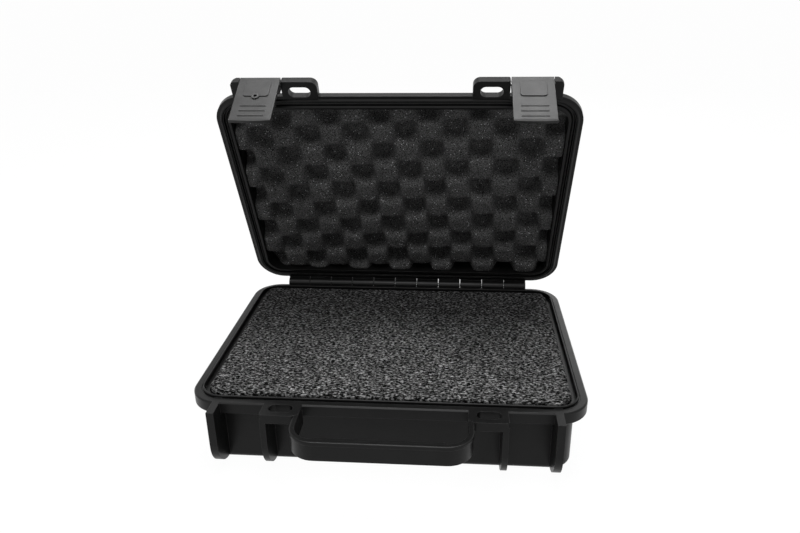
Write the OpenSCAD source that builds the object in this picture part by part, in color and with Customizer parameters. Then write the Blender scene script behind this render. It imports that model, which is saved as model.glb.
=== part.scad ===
/* [Case] */
// Width of the rim flange, left to right
case_w = 336; // [300:1:380]
// Depth of the rim flange, front to back
case_d = 245; // [215:1:280]
// Height of the base, from its underside to the rim's land
base_h = 63.3; // [56:0.1:85]
// Height of the lid, from its rim face to its top
lid_h = 26; // [24:0.5:40]
// Radius of the flange's corners in plan
flange_r = 28; // [25:0.5:36]
// How far the body walls stand in from the flange's edge
body_inset = 10.5; // [10:0.1:13]
// Thickness of the body walls
wall = 2.6; // [2:0.1:3.2]
// Thickness of the base's floor and the lid's top
floor_t = 3; // [2.4:0.1:4]
// Angle at which the lid stands open, from closed
lid_open = 64.5; // [0:0.5:105]
// Depth of the panel sunk into the lid's top
panel_d = 0.8; // [0.5:0.1:1]
// Gap between the base's land and the lid's rim face when closed
rim_gap = 0.4; // [0.3:0.05:0.8]

/* [Rims] */
// Height of the base's skirt at the flange's edge
skirt_h = 11.3; // [9:0.1:14]
// Thickness of the base's skirt
skirt_t = 3; // [2.5:0.1:4]
// Thickness of the base's flange plate
flange_t = 4; // [3.4:0.1:5]
// Thickness of the lid's flange
lid_flange_t = 7.25; // [6.8:0.05:9]
// Radius of the rounding at the foot of the base
foot_r = 5; // [3:0.5:6]
// Radius of the rounding along the top of the lid
crown_r = 6; // [4:0.5:7]
// Distance of the tongue's outer face from the flange's edge
tongue_in = 7.4; // [7:0.1:7.8]
// Thickness of the tongue
tongue_t = 1.8; // [1.4:0.1:2]
// Height of the tongue above the land
tongue_h = 2; // [1.4:0.1:2]
// Clearance of the tongue in the lid's groove, each side
tongue_gap = 0.5; // [0.3:0.05:0.7]
// Depth of the lid's groove
groove_d = 4.2; // [4.1:0.05:4.6]
// Radius of the seal's round section
seal_r = 1.2; // [0.9:0.05:1.2]
// Depth of the ledge that seats the foam inside the base's rim, less than the flange plate
ledge_d = 2.4; // [1.6:0.1:2.6]

/* [Hinge] */
// Width of the row of knuckles
hinge_w = 271; // [220:1:274]
// Number of knuckles, odd so that the base has both ends
knuckles = 11; // [5:2:15]
// Radius of a knuckle
knuckle_r = 6.7; // [5:0.1:6.8]
// Gap between neighbouring knuckles
knuckle_gap = 0.6; // [0.3:0.1:1.2]
// Distance of the hinge axis behind the flange's back face
hinge_back = 7.4; // [7.3:0.1:8.5]
// Drop of the hinge axis below the base's land
hinge_drop = 1; // [0.8:0.1:1.6]
// Radius of the hinge pin
hinge_pin_r = 2; // [1.5:0.1:2.6]
// Radial clearance of every pin in its holes
pin_gap = 0.05; // [0.02:0.01:0.09]

/* [Latches] */
// Distance from the flange's side edge in to the middle of each latch
latch_in = 48.5; // [46:0.5:56]
// Width of a latch
latch_w = 36.1; // [30:0.1:37]
// Length of a latch's outer face
latch_l = 56; // [44:0.5:58]
// Thickness of a latch's outer plate
latch_t = 2.8; // [2.2:0.1:3.4]
// Distance from a latch's pin to its outer face
latch_face = 4.6; // [4.4:0.1:5.2]
// Distance from a latch's pin up to its top edge
latch_top = 4.2; // [3.8:0.1:4.4]
// Radius of the latch's barrel round its pin
barrel_r = 4.1; // [3.6:0.1:4.3]
// Radius of a latch pin
latch_pin_r = 1.5; // [1.2:0.1:1.8]
// Reach of the latch pin in front of the flange
latch_reach = 11; // [10.5:0.1:12]
// Height of the latch pin above the lid's rim face
latch_rise = 3.1; // [3:0.1:3.8]
// Lean of a hanging latch in towards the case
latch_lean = 6.6; // [0:0.1:9]
// Further swing from hanging to latched
latch_swing = 10; // [9:0.5:12]
// Bite of the hook under the base's skirt
hook_bite = 2.2; // [1:0.1:2.2]
// Clearance of the latched hook below the skirt
hook_gap = 0.35; // [0.3:0.05:1]
// Thickness of the hook
hook_t = 3.4; // [2.6:0.1:4]
// Side clearance of a latch between its ears
latch_gap = 0.65; // [0.4:0.05:1]

/* [Front] */
// Reach of the padlock tabs and ears in front of the flange
tab_reach = 15.8; // [15:0.1:18]
// Width of a padlock tab
tab_w = 32.3; // [29:0.1:36]
// Thickness of the base's padlock tabs
tab_t = 8; // [6:0.5:10]
// Radius of the tabs' corners
tab_r = 6.5; // [3:0.5:7.5]
// Length of a padlock slot
slot_l = 20.2; // [16:0.2:22]
// Width of a padlock slot
slot_w = 10.3; // [8:0.1:10.6]
// Distance of a slot's middle from its tab's outer edge
slot_in = 15.8; // [14:0.1:18]
// Width of the lid's outer ears
ear_w = 8; // [6:0.5:9]
// Thickness of the base's outer ribs
rib_t = 6.5; // [5:0.5:8]
// Thickness of the ribs under the padlock tabs
web_t = 5; // [4:0.5:6]
// Height above the floor at which the ribs meet the front wall
rib_foot = 4.5; // [1:0.5:8]

/* [Handle] */
// Reach of the handle in front of the flange
handle_reach = 48.3; // [40:0.5:56]
// Room between the handle's arms and the padlock slots
handle_gap = 1.7; // [1:0.1:4]
// Height of the handle's band
handle_h = 17.5; // [14:0.5:22]
// Thickness of the handle's band
handle_t = 3.8; // [3:0.1:5]
// Radius of the handle's outer corners
handle_r = 21.5; // [14:0.5:26]
// Overhang of the handle's rolled top edge
bead_out = 0.8; // [0.4:0.1:1.2]
// Height of the handle's rolled top edge
bead_h = 3.2; // [2:0.2:5]
// Depth of the grip along the inside of the handle's front
grip_d = 5; // [3:0.5:8]
// Room beside the grip, from the handle's outer face
grip_side = 18.2; // [17:0.1:30]

/* [Foam] */
// Clearance round each foam
foam_gap = 0.3; // [0.2:0.05:0.6]
// Room between the base's foam and the tongue
foam_room = 2; // [1.4:0.1:3]
// How far the middle of the base's foam stands above the land
foam_proud = 2; // [0:0.1:2.2]
// Depth of the lid foam's peaks inside the lid's rim face
peak_depth = 2.6; // [2.6:0.1:6]
// Depth of the lid foam's pits below its peaks
pit_depth = 16; // [8:0.5:16]
// Spacing of the peaks from left to right
wave_x = 46.4; // [40:0.2:60]
// Spacing of the peaks from front to back
wave_y = 48.4; // [40:0.2:60]
// Slant of the rows of peaks across the lid
wave_slant = 3; // [0:0.5:6]

/* [Hidden] */
$fn = 64;
front = -case_d / 2;
back = case_d / 2;
lid_z = base_h + rim_gap;
corner_x = case_w / 2 - flange_r;
corner_y = case_d / 2 - flange_r;
core_inset = 20;
panel_inset = 27;
cavity_inset = body_inset + wall;
latch_x = case_w / 2 - latch_in;
ledge_inset = tongue_in + tongue_t;
hinge_y = back + hinge_back;
hinge_z = base_h - hinge_drop;
pitch = hinge_w / knuckles;
pivot_y = front - latch_reach;
pivot_z = lid_z + latch_rise;
ear_in = latch_x + latch_w / 2 + latch_gap;
tab_out = latch_x - latch_w / 2 - latch_gap;
tab_in = tab_out - tab_w;
slot_x = tab_out - slot_in;
slot_y = front - slot_w / 2;
arm_x = slot_x - slot_l / 2 - handle_gap;
wall_y = front + body_inset;
rib_r = body_inset + tab_reach;
pin_grip = 4.2;
pin_end = 0.3;
edge_r = 1.6;
ear_r = 3.6;
grip_lines = 3;
grip_top = 37;
grip_pitch = 6.1;
pad_w = 22.8;
pad_h = 19.2;
pad_low = 5.5;
bow_r = 136;
peak_u = -11.7;
peak_v = 109;
lock_r = 3.3;
keyhole_r = 1.5;
plastic = [0.13, 0.13, 0.13];
latch_plastic = [0.33, 0.33, 0.34];
steel = [0.6, 0.6, 0.62];
lid_foam_grey = [0.16, 0.16, 0.17];
base_foam_grey = [0.45, 0.45, 0.47];

// Rounded rectangle in plan, a given distance in from the flange's edge
module outline(inset) {
    r = flange_r - inset;
    square([case_w - 2 * inset, 2 * corner_y], center = true);
    square([2 * corner_x, case_d - 2 * inset], center = true);
    for (x = [-1, 1], y = [-1, 1]) translate([x * corner_x, y * corner_y]) circle(r);
}

module slab(inset, z0, z1) {
    translate([0, 0, z0]) linear_extrude(z1 - z0) outline(inset);
}

// Carries a section round the flange's edge; x in the section is minus the distance in from that edge
module around() {
    for (k = [0 : 3]) {
        sides = [k == 0 || k == 3 ? 1 : -1, k < 2 ? 1 : -1];
        half = k % 2 == 0 ? [case_w / 2, corner_y] : [case_d / 2, corner_x];
        translate([sides.x * corner_x, sides.y * corner_y, 0]) rotate([0, 0, 90 * k])
            rotate_extrude(angle = 90) translate([flange_r, 0]) children();
        rotate([0, 0, 90 * k]) translate([half.x, 0, 0]) rotate([90, 0, 0])
            linear_extrude(2 * half.y, center = true) children();
    }
}

// Section of the base's flange, skirt and tongue, and of its wall with the rounded foot
module base_section() {
    low = base_h - skirt_h;
    edge = 1.2;
    channel = 0.8;
    polygon([[0, low + edge], [-edge, low], [-skirt_t, low], [-skirt_t, base_h - flange_t],
        [-core_inset, base_h - flange_t], [-core_inset, base_h], [-tongue_in, base_h],
        [-tongue_in, base_h - channel], [edge - tongue_in, base_h - channel], [edge - tongue_in, base_h],
        [-edge, base_h], [0, base_h - edge]]);
    translate([-tongue_in - tongue_t, base_h - channel])
        square([tongue_t, tongue_h + channel - tongue_t / 2]);
    translate([-tongue_in - tongue_t / 2, base_h + tongue_h - tongue_t / 2]) circle(tongue_t / 2, $fn = 32);
    translate([-core_inset, foot_r]) square([core_inset - body_inset, base_h - flange_t - foot_r]);
    translate([-core_inset, 0]) square([core_inset - body_inset - foot_r, foot_r]);
    intersection() {
        translate([-body_inset - foot_r, foot_r]) circle(foot_r);
        translate([-body_inset - foot_r, 0]) square(foot_r);
    }
}

// Section of the lid's flange with its ridges and groove, and of its wall with the rounded crown
module lid_section() {
    step = 0.5;
    bevel = 1.3;
    score = 1.1;
    land = 0.4;
    ridge_in = 2.9;
    top = lid_z + lid_flange_t;
    crown_z = lid_z + lid_h - crown_r;
    g0 = tongue_in - tongue_gap;
    g1 = tongue_in + tongue_t + tongue_gap;
    polygon([[0, lid_z + bevel], [0, top - step], [-step, top], [-core_inset, top], [-core_inset, lid_z],
        [-g1 - bevel, lid_z], [-g1, lid_z + bevel], [-g1, lid_z + groove_d], [-g0, lid_z + groove_d],
        [-g0, lid_z], [-g0 + land, lid_z], [-g0 + land + score, lid_z + score],
        [-g0 + land + score, lid_z], [-ridge_in - bevel, lid_z], [-ridge_in, lid_z + bevel]]);
    translate([-core_inset, top]) square([core_inset - body_inset, crown_z - top]);
    translate([-core_inset, crown_z]) square([core_inset - body_inset - crown_r, crown_r]);
    intersection() {
        translate([-body_inset - crown_r, crown_z]) circle(crown_r);
        translate([-body_inset - crown_r, crown_z]) square(crown_r);
    }
}

// Plan of a padlock tab on the right, its corner towards the handle the rounder one
module tab_plan() {
    root = 2;
    translate([tab_in, front - tab_reach + tab_r]) square([tab_w, tab_reach - tab_r + root]);
    translate([tab_in + tab_r, front - tab_reach]) square([tab_w - tab_r - edge_r, tab_reach + root]);
    translate([tab_in + tab_r, front - tab_reach + edge_r])
        square([tab_w - tab_r, tab_reach - edge_r + root]);
    translate([tab_in + tab_r, front - tab_reach + tab_r]) circle(tab_r);
    translate([tab_out - edge_r, front - tab_reach + edge_r]) circle(edge_r);
}

module slot_plan() {
    half = (slot_l - slot_w) / 2;
    translate([slot_x, slot_y]) {
        square([2 * half, slot_w], center = true);
        for (x = [-half, half]) translate([x, 0]) circle(slot_w / 2);
    }
}

module both_sides() {
    children();
    mirror([1, 0, 0]) children();
}

module tabs(z0, z1) {
    both_sides() translate([0, 0, z0]) linear_extrude(z1 - z0) tab_plan();
}

module slots(z0, z1) {
    both_sides() translate([0, 0, z0 - 1]) linear_extrude(z1 - z0 + 2) slot_plan();
}

// Upright rib on the front wall, its front edge curving back to the wall's foot
module rib(x0, x1, top) {
    centre_z = rib_foot + rib_r;
    translate([x0, 0, 0]) rotate([90, 0, 90]) linear_extrude(x1 - x0) {
        translate([front - tab_reach, centre_z]) square([rib_r + wall / 2, top - centre_z]);
        intersection() {
            translate([wall_y, centre_z]) circle(rib_r);
            translate([front - tab_reach, rib_foot]) square([rib_r, rib_r]);
        }
        translate([wall_y - 1, rib_foot]) square([1 + wall / 2, rib_r]);
    }
}

// Section of the handle's band and rolled edge; x is minus the distance in from its outer face
module handle_section() {
    roll = 1.3;
    depth = handle_t + bead_out;
    translate([-depth, -handle_h]) square([handle_t, handle_h - roll]);
    translate([-depth, -bead_h]) square([depth, bead_h - roll]);
    translate([-depth, -roll]) square([depth - roll, roll]);
    translate([-roll, -roll]) circle(roll);
}

// The section carried from one arm's root round to the other's, and the grip behind the front
module handle() {
    top = base_h - 0.6;
    bend_y = front - handle_reach + handle_r;
    root_y = front + 1;
    inner = front - handle_reach + bead_out + handle_t;
    half = arm_x - grip_side;
    grip_drop = 2.4;
    translate([0, 0, top]) {
        both_sides() {
            translate([arm_x, root_y, 0]) rotate([90, 0, 0]) linear_extrude(root_y - bend_y) handle_section();
            translate([arm_x - handle_r, bend_y, 0]) rotate([0, 0, -90]) rotate_extrude(angle = 90)
                translate([handle_r, 0]) handle_section();
        }
        translate([0, front - handle_reach, 0]) rotate([90, 0, -90])
            linear_extrude(2 * (arm_x - handle_r), center = true) handle_section();
    }
    translate([0, 0, top - handle_h]) linear_extrude(handle_h - grip_drop)
        polygon([[-half, inner - 1], [half, inner - 1], [half, inner],
            [half - grip_d, inner + grip_d], [-half + grip_d, inner + grip_d], [-half, inner]]);
}

// One run of knuckles with their webs; first is 0 for the base's and 1 for the lid's
module knuckle_row(first) {
    for (k = [first : 2 : knuckles - 1]) {
        x0 = -hinge_w / 2 + k * pitch + knuckle_gap / 2;
        translate([x0, hinge_y, hinge_z]) rotate([90, 0, 90]) linear_extrude(pitch - knuckle_gap) {
            circle(knuckle_r);
            if (first == 0) {
                translate([-hinge_back - 1, -knuckle_r]) square([hinge_back + 1, knuckle_r]);
            } else {
                rise = hinge_drop + rim_gap + 0.5;
                polygon([[-hinge_back - 1, rise], [-hinge_back - 1, knuckle_r], [0, knuckle_r], [0, 0],
                    [-3, rise]]);
            }
        }
    }
}

module hinge_bore() {
    translate([-hinge_w / 2 - 1, hinge_y, hinge_z]) rotate([0, 90, 0])
        cylinder(r = hinge_pin_r + pin_gap, h = hinge_w + 2);
}

// Turns what is drawn on the closed lid to where the lid stands open
module opened() {
    translate([0, hinge_y, hinge_z]) rotate([-lid_open, 0, 0]) translate([0, -hinge_y, -hinge_z]) children();
}

module base_shell() color(plastic) difference() {
    union() {
        around() base_section();
        slab(core_inset, 0, base_h);
        tabs(base_h - tab_t, base_h);
        both_sides() rib(ear_in, ear_in + rib_t, base_h);
        both_sides() rib(tab_out - web_t, tab_out, base_h - tab_t / 2);
        handle();
        knuckle_row(0);
    }
    slab(cavity_inset, floor_t, base_h + tongue_h + 1);
    slab(ledge_inset, base_h - ledge_d, base_h + tongue_h + 1);
    slots(base_h - tab_t, base_h);
    hinge_bore();
}

// Ear outside each latch, its top outer edge cut back
// Outer ear of a latch, slanted off along its top and rounded at its corner
module ear() {
    cut = 4.7;
    root = 2;
    intersection() {
        translate([0, front + root, 0]) rotate([90, 0, 0]) linear_extrude(tab_reach + root)
            polygon([[ear_in, lid_z], [ear_in + ear_w, lid_z], [ear_in + ear_w, lid_z + lid_flange_t - cut],
                [ear_in + ear_w - cut, lid_z + lid_flange_t], [ear_in, lid_z + lid_flange_t]]);
        translate([ear_in, front - tab_reach, lid_z]) linear_extrude(lid_flange_t) {
            square([ear_w - ear_r, tab_reach + root]);
            translate([0, ear_r]) square([ear_w, tab_reach + root - ear_r]);
            translate([ear_w - ear_r, ear_r]) circle(ear_r);
        }
    }
}

module latch_bores() {
    both_sides() translate([tab_out - pin_grip - pin_end, pivot_y, pivot_z]) rotate([0, 90, 0])
        cylinder(r = latch_pin_r + pin_gap, h = ear_in - tab_out + 2 * (pin_grip + pin_end));
}

module lid_shell() color(plastic) opened() difference() {
    union() {
        around() lid_section();
        slab(core_inset, lid_z, lid_z + lid_h);
        tabs(lid_z, lid_z + lid_flange_t);
        both_sides() ear();
        knuckle_row(1);
    }
    slab(cavity_inset, lid_z - 1, lid_z + lid_h - floor_t);
    slab(panel_inset, lid_z + lid_h - panel_d, lid_z + lid_h + 1);
    slots(lid_z, lid_z + lid_flange_t);
    latch_bores();
    hinge_bore();
}

module lid_seal() color("black") opened() {
    around() translate([-tongue_in - tongue_t / 2, lid_z + groove_d - seal_r - 0.02])
        circle(seal_r, $fn = 32);
}

module hinge_pin() color(steel) translate([-hinge_w / 2 + 1, hinge_y, hinge_z]) rotate([0, 90, 0])
    cylinder(r = hinge_pin_r, h = hinge_w - 2);

// Side view of the hook, drawn about the pin as it lies when latched
module hook_side() {
    under = base_h - skirt_h - pivot_z - hook_gap;
    polygon([[-2, under - hook_t - 2], [-2, under - 1], [latch_reach - 2, under - 1],
        [latch_reach - 0.6, under], [latch_reach + hook_bite, under],
        [latch_reach + hook_bite, under - hook_t + 1],
        [latch_reach + hook_bite - 1, under - hook_t], [4, under - hook_t]]);
}

// A latch about its pin, its outer face upright and facing the front
module latch_form() {
    cheek_t = 2.6;
    cheek_low = -15;
    low = latch_top - latch_l;
    lip = 0.9;
    lip_h = 3.5;
    skin = 0.4;
    inner = latch_t - latch_face;
    difference() {
        union() {
            intersection() {
                translate([-latch_w / 2, 0, 0]) rotate([90, 0, 90]) linear_extrude(latch_w)
                    polygon([[-latch_face, latch_top], [-latch_face, low + lip_h], [-latch_face - lip, low],
                        [inner - lip, low], [inner, low + lip_h], [inner, latch_top]]);
                translate([0, latch_face, low + bow_r]) rotate([90, 0, 0])
                    cylinder(r = bow_r, h = 3 * latch_face);
            }
            translate([-latch_w / 2, 0, 0]) rotate([0, 90, 0]) cylinder(r = barrel_r, h = latch_w);
            translate([-latch_w / 2 + cheek_t, 0, 0]) rotate([90, 0, 90])
                linear_extrude(latch_w - 2 * cheek_t) intersection() {
                    rotate(-latch_lean - latch_swing) hook_side();
                    translate([-latch_face + skin, low]) square(latch_l);
                }
            for (x = [-latch_w / 2, latch_w / 2 - cheek_t]) translate([x, 0, 0])
                rotate([90, 0, 90]) linear_extrude(cheek_t)
                    polygon([[-latch_face, latch_top - 1], [1.5, latch_top - 1], [barrel_r, 0],
                        [barrel_r, -6], [inner, cheek_low], [-latch_face, cheek_low]]);
        }
        translate([-latch_w / 2 - 1, 0, 0]) rotate([0, 90, 0])
            cylinder(r = latch_pin_r + pin_gap, h = latch_w + 2);
    }
    for (k = [0 : grip_lines - 1])
        translate([-pad_w / 2, -latch_face - 0.5, latch_top - grip_top - grip_pitch * k])
            cube([pad_w, 1, 1.4]);
}

// Plan of a plain rounded pad, standing on the latch's face
module pad_plan(w, h, r) {
    square([w, h - 2 * r], center = true);
    square([w - 2 * r, h], center = true);
    for (x = [-1, 1], y = [-1, 1]) translate([x * (w / 2 - r), y * (h / 2 - r)]) circle(r);
}

module latch_pad() {
    translate([0, -latch_face + 0.3, latch_top - pad_low - pad_h / 2]) rotate([90, 0, 0])
        linear_extrude(1.1) pad_plan(pad_w, pad_h, 3);
}

module hung(side) {
    opened() translate([side * latch_x, pivot_y, pivot_z]) rotate([latch_lean, 0, 0]) children();
}

module latch_right() color(latch_plastic) hung(1) {
    latch_form();
    latch_pad();
}

module latch_left() color(latch_plastic) hung(-1) difference() {
    union() {
        latch_form();
        latch_pad();
    }
    translate([0, -latch_face - 2, latch_top - pad_low - pad_h]) rotate([-90, 0, 0])
        cylinder(r = lock_r + pin_gap, h = latch_t + 3);
}

module lock_barrel() color(steel) hung(-1) translate([0, -latch_face - 1, latch_top - pad_low - pad_h])
    rotate([-90, 0, 0]) difference() {
        cylinder(r = lock_r, h = latch_t + 1.6);
        translate([0, 0, -1]) cylinder(r = keyhole_r, h = 2.6, $fn = 24);
    }

module latch_pin(side) color(steel) opened() translate([side * latch_x, pivot_y, pivot_z])
    rotate([0, 90, 0]) cylinder(r = latch_pin_r, h = ear_in - tab_out + 2 * pin_grip, center = true);

module base_foam() color(base_foam_grey)
    slab(cavity_inset + foam_gap, floor_t, base_h - ledge_d);

module base_foam_top() color(base_foam_grey) {
    crown_in = 1.2;
    slab(ledge_inset + foam_room, base_h - ledge_d, base_h + rim_gap / 4);
    slab(cavity_inset + crown_in, base_h - ledge_d, base_h + foam_proud);
}

// Face of the lid's foam at a place in plan: staggered peaks and pits
function wave(x, y) = let(
    u = x * cos(wave_slant) - y * sin(wave_slant) - peak_u,
    v = y * cos(wave_slant) + x * sin(wave_slant) - peak_v)
    lid_z + peak_depth + pit_depth / 2 * (1 - cos(360 * u / wave_x) * cos(360 * v / wave_y));

module lid_foam() {
    w = case_w - 2 * (cavity_inset + foam_gap);
    d = case_d - 2 * (cavity_inset + foam_gap);
    nx = 38;
    ny = 27;
    high = lid_z + lid_h - floor_t;
    r = flange_r - cavity_inset;
    // Draws the four corners in, so that the foam clears the lid's rounded corners
    function px(i, j) = let(x = (i / nx - 0.5) * w, y = (j / ny - 0.5) * d,
        e = max(0, r - (d / 2 - abs(y)))) x / (w / 2) * (w / 2 - (e > 0 ? r - sqrt(r * r - e * e) : 0));
    function py(i, j) = (j / ny - 0.5) * d;
    face = [for (j = [0 : ny], i = [0 : nx]) [px(i, j), py(i, j), wave(px(i, j), py(i, j))]];
    n = nx + 1;
    rim = concat([for (i = [0 : nx]) i], [for (j = [1 : ny]) j * n + nx],
        [for (i = [nx - 1 : -1 : 0]) ny * n + i], [for (j = [ny - 1 : -1 : 1]) j * n]);
    m = len(rim);
    count = n * (ny + 1);
    edge = [for (k = rim) [face[k].x, face[k].y, high]];
    color(lid_foam_grey) opened() polyhedron(concat(face, edge), concat(
        [for (j = [0 : ny - 1], i = [0 : nx - 1]) [j * n + i, j * n + i + 1, (j + 1) * n + i + 1]],
        [for (j = [0 : ny - 1], i = [0 : nx - 1]) [j * n + i, (j + 1) * n + i + 1, (j + 1) * n + i]],
        [for (k = [0 : m - 1]) [rim[k], count + k, count + (k + 1) % m, rim[(k + 1) % m]]],
        [[for (k = [m - 1 : -1 : 0]) count + k]]));
}

base_shell();
lid_shell();
lid_seal();
hinge_pin();
latch_left();
latch_right();
latch_pin(-1);  // latch_pin_left
latch_pin(1);  // latch_pin_right
lock_barrel();
base_foam();
base_foam_top();
lid_foam();
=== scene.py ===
import math

import bpy
import numpy as np
from mathutils import Matrix, Vector, noise


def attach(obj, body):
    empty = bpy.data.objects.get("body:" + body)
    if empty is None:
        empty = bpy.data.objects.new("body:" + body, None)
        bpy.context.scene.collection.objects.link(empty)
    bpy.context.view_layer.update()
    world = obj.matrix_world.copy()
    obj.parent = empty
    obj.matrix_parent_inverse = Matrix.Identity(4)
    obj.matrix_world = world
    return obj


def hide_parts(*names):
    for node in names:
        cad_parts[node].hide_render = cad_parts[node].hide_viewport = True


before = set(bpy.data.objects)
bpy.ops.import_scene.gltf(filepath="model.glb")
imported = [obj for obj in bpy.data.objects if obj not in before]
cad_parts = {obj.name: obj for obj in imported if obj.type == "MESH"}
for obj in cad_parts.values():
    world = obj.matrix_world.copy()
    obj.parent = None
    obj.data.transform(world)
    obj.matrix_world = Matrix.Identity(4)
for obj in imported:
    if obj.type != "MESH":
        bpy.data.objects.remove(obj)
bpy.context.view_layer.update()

# Stage: camera at the photograph's angle, pale floor, soft studio light; metres, degrees and watts.
# The focal length is in pixels of an image IMAGE_WIDTH wide; GLOW_SHARE is how much of the floor glows.

CAMERA_PLACE = (0.05534, -0.60196, 0.38807)
YAW, PITCH, ROLL = 4.852, 22.476, -0.843
FOCAL_PIXELS, IMAGE_WIDTH, SENSOR_WIDTH = 697.08, 800, 36
AMBIENT = 0.12
FLOOR_HALF, FLOOR_DROP = 40.0, 0.0002
FLOOR_GREY, FLOOR_ROUGHNESS = 0.45, 0.9
FLOOR_GLOW, GLOW_SHARE = 1.08, 0.9
WHITE = (1, 1, 1, 1)


def add_camera():
    yaw, pitch, roll = (math.radians(a) for a in (YAW, PITCH, ROLL))
    forward = Vector((-math.sin(yaw) * math.cos(pitch), math.cos(yaw) * math.cos(pitch), -math.sin(pitch)))
    side = forward.cross(Vector((0, 0, 1))).normalized()
    up = side.cross(forward)
    right = side * math.cos(roll) + up * math.sin(roll)
    top = up * math.cos(roll) - side * math.sin(roll)
    data = bpy.data.cameras.new("camera")
    data.sensor_width = SENSOR_WIDTH
    data.lens = SENSOR_WIDTH * FOCAL_PIXELS / IMAGE_WIDTH
    camera = bpy.data.objects.new("camera", data)
    bpy.context.collection.objects.link(camera)
    turn = Matrix((right, top, -forward)).transposed().to_4x4()
    camera.matrix_world = Matrix.Translation(CAMERA_PLACE) @ turn
    bpy.context.scene.camera = camera


def add_light(name, place, target, size, power):
    data = bpy.data.lights.new(name, "AREA")
    data.shape = "RECTANGLE"
    data.size, data.size_y = size
    data.energy = power
    light = bpy.data.objects.new(name, data)
    bpy.context.collection.objects.link(light)
    light.location = place
    light.rotation_euler = (Vector(target) - Vector(place)).to_track_quat("-Z", "Y").to_euler()


def white_to_camera(tree):
    """A value that is 1 for the rays that show the background: camera, glossy and transmission."""
    path = tree.nodes.new("ShaderNodeLightPath")
    seen = path.outputs["Is Camera Ray"]
    for ray in ("Is Glossy Ray", "Is Transmission Ray"):
        most = tree.nodes.new("ShaderNodeMath")
        most.operation = "MAXIMUM"
        tree.links.new(seen, most.inputs[0])
        tree.links.new(path.outputs[ray], most.inputs[1])
        seen = most.outputs[0]
    return seen


def add_world():
    world = bpy.data.worlds.new("studio")
    bpy.context.scene.world = world
    world.use_nodes = True
    tree = world.node_tree
    lit = tree.nodes["Background"]
    lit.inputs["Color"].default_value = WHITE
    lit.inputs["Strength"].default_value = AMBIENT
    shown = tree.nodes.new("ShaderNodeBackground")
    shown.inputs["Color"].default_value = WHITE
    mix = tree.nodes.new("ShaderNodeMixShader")
    tree.links.new(white_to_camera(tree), mix.inputs["Fac"])
    tree.links.new(lit.outputs[0], mix.inputs[1])
    tree.links.new(shown.outputs[0], mix.inputs[2])
    tree.links.new(mix.outputs[0], tree.nodes["World Output"].inputs["Surface"])


def add_floor():
    mesh = bpy.data.meshes.new("floor")
    corners = [(x * FLOOR_HALF, y * FLOOR_HALF, 0) for x, y in ((-1, -1), (1, -1), (1, 1), (-1, 1))]
    mesh.from_pydata(corners, [], [(0, 1, 2, 3)])
    floor = bpy.data.objects.new("floor", mesh)
    bpy.context.collection.objects.link(floor)
    floor.location.z = -FLOOR_DROP
    material = bpy.data.materials.new("floor")
    material.use_nodes = True
    tree = material.node_tree
    matt = tree.nodes["Principled BSDF"]
    matt.inputs["Base Color"].default_value = (FLOOR_GREY, FLOOR_GREY, FLOOR_GREY, 1)
    matt.inputs["Roughness"].default_value = FLOOR_ROUGHNESS
    glow = tree.nodes.new("ShaderNodeEmission")
    glow.inputs["Strength"].default_value = FLOOR_GLOW
    keep = tree.nodes.new("ShaderNodeMath")
    keep.operation = "MULTIPLY"
    keep.inputs[1].default_value = GLOW_SHARE
    mix = tree.nodes.new("ShaderNodeMixShader")
    tree.links.new(white_to_camera(tree), keep.inputs[0])
    tree.links.new(keep.outputs[0], mix.inputs["Fac"])
    tree.links.new(matt.outputs[0], mix.inputs[1])
    tree.links.new(glow.outputs[0], mix.inputs[2])
    tree.links.new(mix.outputs[0], tree.nodes["Material Output"].inputs["Surface"])
    mesh.materials.append(material)


add_camera()
add_world()
add_floor()
add_light("overhead", place=(0.04, 0.14, 1.5), target=(0.02, -0.02, 0.1), size=(0.9, 0.65), power=19)
add_light("front", place=(-0.12, -0.95, 1.55), target=(0, 0, 0.15), size=(0.8, 0.5), power=9)
add_light("back", place=(0.2, 1.7, 0.9), target=(0, 0.05, 0.15), size=(1.2, 0.6), power=4)
bpy.context.scene.view_settings.view_transform = "Standard"


# Materials: nodes read object coordinates, so they move with their piece


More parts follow.
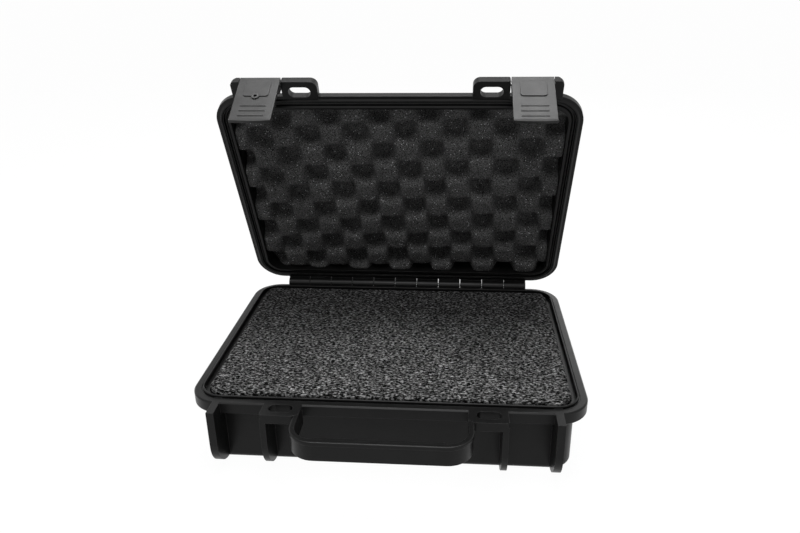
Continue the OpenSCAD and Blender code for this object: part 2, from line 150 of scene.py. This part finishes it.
class Surface:
    """A Principled material with short calls for the textures that feed it."""

    def __init__(self, name, **constants):
        self.material = bpy.data.materials.new(name)
        self.material.use_nodes = True
        self.tree = self.material.node_tree
        self.shader = self.tree.nodes["Principled BSDF"]
        for socket, value in constants.items():
            self.shader.inputs[socket.replace("_", " ")].default_value = value
        self.place = self.tree.nodes.new("ShaderNodeTexCoord").outputs["Object"]

    def add(self, kind, settings=None, links=None, **inputs):
        """A node with its settings, the outputs linked into it by socket name, and its sockets' values."""
        made = self.tree.nodes.new(kind)
        for key, value in (settings or {}).items():
            setattr(made, key, value)
        for socket, value in inputs.items():
            made.inputs[socket].default_value = value
        for socket, source in (links or {}).items():
            self.tree.links.new(source, made.inputs[socket])
        return made

    def noise(self, scale, detail=2.0, roughness=0.5, distortion=0.0, place=None):
        made = self.add(
            "ShaderNodeTexNoise",
            links={"Vector": place or self.place},
            Scale=scale,
            Detail=detail,
            Roughness=roughness,
            Distortion=distortion,
        )
        return made.outputs["Fac"]

    def cells(self, scale, output="Distance"):
        return self.add("ShaderNodeTexVoronoi", links={"Vector": self.place}, Scale=scale).outputs[output]

    def ramp(self, factor, *stops):
        """Each stop is a position and the grey there."""
        made = self.add("ShaderNodeValToRGB", links={"Fac": factor})
        while len(made.color_ramp.elements) < len(stops):
            made.color_ramp.elements.new(0.5)
        for element, (position, grey) in zip(made.color_ramp.elements, stops):
            element.position = position
            element.color = (grey, grey, grey, 1)
        return made.outputs["Color"]

    def math(self, operation, first, second):
        made = self.add("ShaderNodeMath", {"operation": operation})
        self.feed(made, {0: first, 1: second})
        return made.outputs[0]

    def mix(self, factor, first, second, blend="MIX"):
        made = self.add("ShaderNodeMix", {"data_type": "RGBA", "blend_type": blend})
        self.feed(made, {0: factor, 6: first, 7: second})
        return made.outputs[2]

    def vector(self, operation, first, second, output="Vector"):
        made = self.add("ShaderNodeVectorMath", {"operation": operation})
        self.feed(made, {0: first, 1: second})
        return made.outputs[output]

    def feed(self, node, sources):
        """Sets or links a node's sockets, by number, from plain values or other nodes' outputs."""
        for index, source in sources.items():
            if isinstance(source, (int, float, tuple)):
                node.inputs[index].default_value = source
            else:
                self.tree.links.new(source, node.inputs[index])

    def bump(self, height, distance, strength, normal=None):
        made = self.add("ShaderNodeBump", links={"Height": height}, Distance=distance, Strength=strength)
        if normal is not None:
            self.tree.links.new(normal, made.inputs["Normal"])
        return made.outputs["Normal"]

    def rounded(self, radius):
        """The normal with its edges rounded, and a value that is high along those edges."""
        soft = self.add("ShaderNodeBevel", {"samples": 6}, Radius=radius).outputs[0]
        plain = self.add("ShaderNodeNewGeometry").outputs["Normal"]
        return soft, self.math("SUBTRACT", 1.0, self.vector("DOT_PRODUCT", soft, plain, "Value"))

    def finish(self, colour, roughness, normal):
        for socket, source in (("Base Color", colour), ("Roughness", roughness), ("Normal", normal)):
            self.tree.links.new(source, self.shader.inputs[socket])
        return self.material


def moulded_plastic(name, dark, light, edge, gloss, grain, specular):
    """Injection-moulded plastic: fine spark-eroded grain, faint clouding, and a painted highlight:
    edges painted a little lighter, in patches."""
    s = Surface(name, Specular_IOR_Level=specular)
    normal, edge_mask = s.rounded(radius=0.0005)
    cloud = s.ramp(s.noise(55, detail=5, roughness=0.65), (0.36, dark), (0.66, light))
    # Painted highlight: the edges that the bevel finds are painted lighter in patches, standing in for
    # light caught by rounded edges.
    painted_edge_highlight = s.math("MULTIPLY", edge_mask, s.noise(240, detail=4, roughness=0.7))
    colour = s.mix(s.ramp(painted_edge_highlight, (0.01, 0.0), (0.14, 1.0)), cloud, (edge, edge, edge, 1))
    rough = s.ramp(s.noise(60, detail=4, roughness=0.6), (0.3, gloss), (0.7, gloss + 0.06))
    pitted = s.bump(s.noise(grain, detail=2, roughness=0.6), distance=0.00002, strength=0.5, normal=normal)
    return s.finish(colour, rough, pitted)


def bare_metal(name, tone):
    """Drawn or turned metal, finely mottled, with small differences in polish."""
    s = Surface(name, Metallic=1.0)
    normal, _ = s.rounded(radius=0.0002)
    mottle = s.noise(900, detail=3, roughness=0.7)
    colour = s.ramp(mottle, (0.3, tone * 0.8), (0.7, tone * 1.1))
    rough = s.ramp(s.noise(300), (0.3, 0.24), (0.7, 0.38))
    return s.finish(colour, rough, s.bump(mottle, distance=0.00002, strength=0.5, normal=normal))


def soft_rubber(name):
    """Black rubber cord, dull and very slightly uneven."""
    s = Surface(name, Specular_IOR_Level=0.3)
    colour = s.ramp(s.noise(300, detail=3), (0.3, 0.004), (0.7, 0.009))
    rough = s.ramp(s.noise(120), (0.3, 0.55), (0.7, 0.68))
    return s.finish(colour, rough, s.bump(s.noise(1800), distance=0.00005, strength=0.6))


def open_foam(name):
    """Charcoal polyurethane foam: open cells under a millimetre wide, and painted glints: a few cells
    painted light grey.
    """
    s = Surface(name, Specular_IOR_Level=0.02)
    cells = s.cells(1500)
    tone = s.ramp(s.noise(1100, detail=3, roughness=0.7), (0.38, 0.012), (0.62, 0.21))
    shade = s.mix(0.6, tone, s.ramp(cells, (0.1, 0.25), (0.6, 1.0)), "MULTIPLY")
    # Painted glints: a few cells are painted light grey in the colour, standing in for cell walls catching
    # light.
    pick = s.add("ShaderNodeSeparateColor", links={"Color": s.cells(620, "Color")}).outputs[0]
    painted_glints = s.math("MULTIPLY", s.math("GREATER_THAN", pick, 0.9), s.math("LESS_THAN", s.cells(620), 0.26))
    colour = s.mix(painted_glints, shade, (0.75, 0.76, 0.78, 1))
    rough = s.ramp(cells, (0.1, 0.95), (0.6, 0.8))
    pores = s.noise(1100, detail=4, roughness=0.75)
    return s.finish(colour, rough, s.bump(pores, distance=0.0006, strength=0.8))


def cut_foam(name):
    """Polyethylene foam with a cut face: torn cells of one to two millimetres, drawn out across the
    case; the colour follows the bump, with painted shade in its hollows and lighter walls between."""
    s = Surface(name, Specular_IOR_Level=0.02)
    bend = s.add("ShaderNodeTexNoise", links={"Vector": s.place}, Scale=300, Detail=2).outputs["Color"]
    shift = s.add("ShaderNodeVectorMath", {"operation": "SCALE"}, {"Vector": bend}, Scale=0.0016)
    moved = s.vector("ADD", s.place, shift.outputs["Vector"])
    drawn = s.vector("MULTIPLY", moved, (0.78, 1.35, 1))
    torn = s.noise(470, detail=5, roughness=0.6, distortion=0.5, place=drawn)
    # Painted shade: the colour follows the bump's height, darkest in its hollows and lighter on the walls
    # between.
    painted_hollow_shade = s.ramp(torn, (0.41, 0.003), (0.48, 0.028), (0.56, 0.23), (0.66, 0.62))
    wide = s.ramp(s.noise(34, detail=3), (0.3, 0.72), (0.7, 1.0))
    clumps = s.ramp(s.noise(190, detail=3, roughness=0.6), (0.36, 0.5), (0.64, 1.0))
    colour = s.mix(1.0, s.mix(1.0, painted_hollow_shade, wide, "MULTIPLY"), clumps, "MULTIPLY")
    rough = s.ramp(torn, (0.35, 0.95), (0.7, 0.6))
    return s.finish(colour, rough, s.bump(torn, distance=0.0022, strength=0.9))


# In moulded_plastic, edge is the grey of the painted edge highlight.
looks = {
    "shell_plastic": moulded_plastic(
        "shell_plastic", dark=0.0045, light=0.007, edge=0.05, gloss=0.32, grain=3200, specular=0.17
    ),
    "latch_plastic": moulded_plastic(
        "latch_plastic", dark=0.019, light=0.039, edge=0.09, gloss=0.37, grain=2600, specular=0.24
    ),
    "seal": soft_rubber("seal"),
    "pin_steel": bare_metal("pin_steel", tone=0.5),
    "lock_metal": bare_metal("lock_metal", tone=0.05),
    "lid_foam": open_foam("lid_foam"),
    "base_foam": cut_foam("base_foam"),
}
worn_by = {
    "shell_plastic": ["base_shell", "lid_shell"],
    "latch_plastic": ["latch_left", "latch_right"],
    "seal": ["lid_seal"],
    "pin_steel": ["hinge_pin", "latch_pin_left", "latch_pin_right"],
    "lock_metal": ["lock_barrel"],
}
for look, nodes in worn_by.items():
    for node in nodes:
        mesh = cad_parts[node].data
        mesh.materials.clear()
        mesh.materials.append(looks[look])


# Foams: closed forms in the space of their CAD solids, in metres

CASE_W, CASE_D, FLANGE_R = 0.336, 0.245, 0.028
BASE_H, FLOOR_T, RIM_GAP = 0.0633, 0.003, 0.0004
CAVITY = 0.0131
HINGE_BACK, HINGE_DROP = 0.0074, 0.001
HINGE = Vector((0, CASE_D / 2 + HINGE_BACK, BASE_H - HINGE_DROP))
OPEN = math.radians(-64.5)
FLAT = (1, 1, 0)

# Base foam: rounded along its edges, lumpy and gritty on top, ragged where it was cut
BASE_FOAM_GAP, BASE_FOAM_LIFT = 0.0002, 0.0001
CROWN, CROWN_WIDTH = 0.0015, 0.0028
LUMP, LUMP_SIZE = 0.0001, 0.011
GRIT, GRIT_SIZE = 0.00026, 0.0021
RAGGED_WIDTH, TEAR_SIZE, NICK_SIZE = 0.006, 0.005, 0.002
TEAR, NICK = 0.006, 0.004
EDGE_DROP, WALL_DROP, WALL_SHARE = 0.0022, 0.0026, (0.997, 0.996, 0)

# Lid foam: rows of peaks and square pits that wander a little, with PEAK_X and PEAK_Y at one peak.
# Depths are from the lid's rim, and tanh steepens the slopes: it is full at FULL_HEIGHT.
LID_FOAM_GAP, LID_FOAM_T = 0.0003, 0.0228
PIT_SLANT = math.radians(3)
PITCH_X, PITCH_Y = 0.0464, 0.0484
PEAK_X, PEAK_Y = -0.0117, 0.114
WANDER, WANDER_SIZE = 0.36, 0.035
STEEPNESS, PEAK_BIAS, FULL_HEIGHT = 2.8, 0.2, 2.4
PEAK_DEPTH, HALF_PIT, LEAST_DEPTH, MOST_DEPTH = 0.0026, 0.0082, 0.0024, 0.0192
FUZZ, FUZZ_SIZE = 0.0003, 0.004


def plan_grid(columns, rows, inset):
    """Points x and y, as a grid, that fill the rounded rectangle lying inset from the flange's edge."""
    u, v = np.meshgrid(np.linspace(-1, 1, columns), np.linspace(-1, 1, rows))
    w, d, r = CASE_W / 2 - inset, CASE_D / 2 - inset, FLANGE_R - inset
    x, y = u * w, v * d
    over = np.maximum(0, np.abs(y) - (d - r))
    narrow = (w - r + np.sqrt(np.maximum(0, r * r - over * over))) / w
    return x * narrow, y


def ripple(x, y, size, seed):
    """Smooth noise from -1 to 1 over a grid of points."""
    points = zip(x.ravel() / size + seed, y.ravel() / size)
    return np.array([noise.noise(Vector((px, py, 0))) for px, py in points]).reshape(x.shape)


def closed_form(name, top, rings, look):
    """A mesh from a grid of points top (rows, columns, 3) whose outline is carried through rings,
    functions of the outline's points, and closed by a flat face on the last."""
    rows, columns = top.shape[:2]
    points = top.reshape(-1, 3).tolist()
    faces = [
        (j * columns + i, j * columns + i + 1, (j + 1) * columns + i + 1, (j + 1) * columns + i)
        for j in range(rows - 1)
        for i in range(columns - 1)
    ]
    outline = (
        list(range(columns))
        + [j * columns + columns - 1 for j in range(1, rows)]
        + [(rows - 1) * columns + i for i in range(columns - 2, -1, -1)]
        + [j * columns for j in range(rows - 2, 0, -1)]
    )
    edge = np.array([points[k] for k in outline])
    last = outline
    for ring in rings:
        start = len(points)
        points += ring(edge).tolist()
        now = list(range(start, start + len(outline)))
        after = now[1:] + now[:1]
        last_after = last[1:] + last[:1]
        faces += list(zip(last, now, after, last_after))
        last = now
    faces.append(tuple(reversed(last)))
    mesh = bpy.data.meshes.new(name)
    mesh.from_pydata(points, [], faces)
    mesh.polygons.foreach_set("use_smooth", [True] * len(faces))
    mesh.materials.append(looks[look])
    mesh.validate()
    made = bpy.data.objects.new(name, mesh)
    bpy.context.collection.objects.link(made)
    return made


def make_base_foam():
    inset = CAVITY + BASE_FOAM_GAP
    x, y = plan_grid(311, 221, inset)
    from_edge = np.minimum(CASE_W / 2 - np.abs(x), CASE_D / 2 - np.abs(y)) - inset
    rise = np.clip(from_edge / CROWN_WIDTH, 0, 1)
    lump = LUMP * ripple(x, y, LUMP_SIZE, seed=3.0)
    grit = GRIT * ripple(x, y, GRIT_SIZE, seed=8.0)
    z = BASE_H + BASE_FOAM_LIFT + CROWN * np.sin(rise * math.pi / 2) + lump * rise + grit * rise
    tear = TEAR * ripple(x, y, TEAR_SIZE, seed=5.0)
    ragged = np.abs(tear + NICK * ripple(x, y, NICK_SIZE, seed=2.0))
    side = 1 - ragged * np.clip(1 - from_edge / RAGGED_WIDTH, 0, 1)
    rings = [
        lambda edge: edge * FLAT + (0, 0, BASE_H - EDGE_DROP),
        lambda edge: edge * WALL_SHARE + (0, 0, BASE_H - WALL_DROP),
        lambda edge: edge * WALL_SHARE + (0, 0, FLOOR_T + BASE_FOAM_GAP),
    ]
    foam = closed_form("base_foam_pad", np.stack([x * side, y * side, z], -1), rings, "base_foam")
    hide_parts("base_foam", "base_foam_top")
    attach(foam, "base")


def make_lid_foam():
    x, y = plan_grid(281, 203, CAVITY + LID_FOAM_GAP)
    across = (x * math.cos(PIT_SLANT) - y * math.sin(PIT_SLANT) - PEAK_X) / PITCH_X * 2 * math.pi
    along = (y * math.cos(PIT_SLANT) + x * math.sin(PIT_SLANT) - PEAK_Y) / PITCH_Y * 2 * math.pi
    across = across + WANDER * ripple(x, y, WANDER_SIZE, seed=1.0)
    along = along + WANDER * ripple(x, y, WANDER_SIZE, seed=11.0)
    wave = np.cos(across) * np.cos(along)
    wave = np.clip(np.tanh(STEEPNESS * (wave + PEAK_BIAS)) / math.tanh(FULL_HEIGHT), -1, 1)
    depth = PEAK_DEPTH + HALF_PIT * (1 - wave) + FUZZ * ripple(x, y, FUZZ_SIZE, seed=4.0)
    depth = np.clip(depth, LEAST_DEPTH, MOST_DEPTH)
    rim = BASE_H + RIM_GAP
    top = np.stack([x, y, rim + depth], -1)[::-1]
    rings = [lambda edge: edge * FLAT + (0, 0, rim + LID_FOAM_T)]
    foam = closed_form("lid_foam_pad", top, rings, "lid_foam")
    turn = Matrix.Translation(HINGE) @ Matrix.Rotation(OPEN, 4, "X") @ Matrix.Translation(-HINGE)
    foam.data.transform(turn)
    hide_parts("lid_foam")
    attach(foam, "lid")


# Hinge lips: thin trim on the lid, in metres and in degrees from the closed lid's plane

HINGE_W, KNUCKLES, KNUCKLE_GAP = 0.271, 11, 0.0006
LIP_R, LIP_BACK, LIP_FROM, LIP_TO, LIP_STEPS = 0.0069, 0.0076, 11.9, 42, 12


def make_hinge_lips():
    """A concave lip on the lid's back edge over each of the base's knuckles, concentric with the pin."""
    points, faces = [], []
    pitch = HINGE_W / KNUCKLES
    for k in range(0, KNUCKLES, 2):
        x0 = -HINGE_W / 2 + k * pitch + KNUCKLE_GAP / 2
        x1 = x0 + pitch - KNUCKLE_GAP
        first = len(points)
        for i in range(LIP_STEPS + 1):
            angle = math.radians(LIP_FROM + (LIP_TO - LIP_FROM) * i / LIP_STEPS)
            y, z = -LIP_R * math.cos(angle), LIP_R * math.sin(angle)
            points += [(x, w, z) for x in (x0, x1) for w in (y, -LIP_BACK)]
        for a in range(first, first + 4 * LIP_STEPS, 4):
            b = a + 4
            faces += [(a, b, b + 2, a + 2), (a + 1, a + 3, b + 3, b + 1)]
            faces += [(a, a + 1, b + 1, b), (a + 2, b + 2, b + 3, a + 3)]
        end = first + 4 * LIP_STEPS
        faces += [(first, first + 2, first + 3, first + 1), (end, end + 1, end + 3, end + 2)]
    mesh = bpy.data.meshes.new("lid_hinge_lips")
    mesh.from_pydata(points, [], faces)
    mesh.transform(Matrix.Translation(HINGE) @ Matrix.Rotation(OPEN, 4, "X"))
    mesh.materials.append(looks["shell_plastic"])
    lips = bpy.data.objects.new("lid_hinge_lips", mesh)
    bpy.context.collection.objects.link(lips)
    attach(lips, "lid")


make_base_foam()
make_lid_foam()
make_hinge_lips()
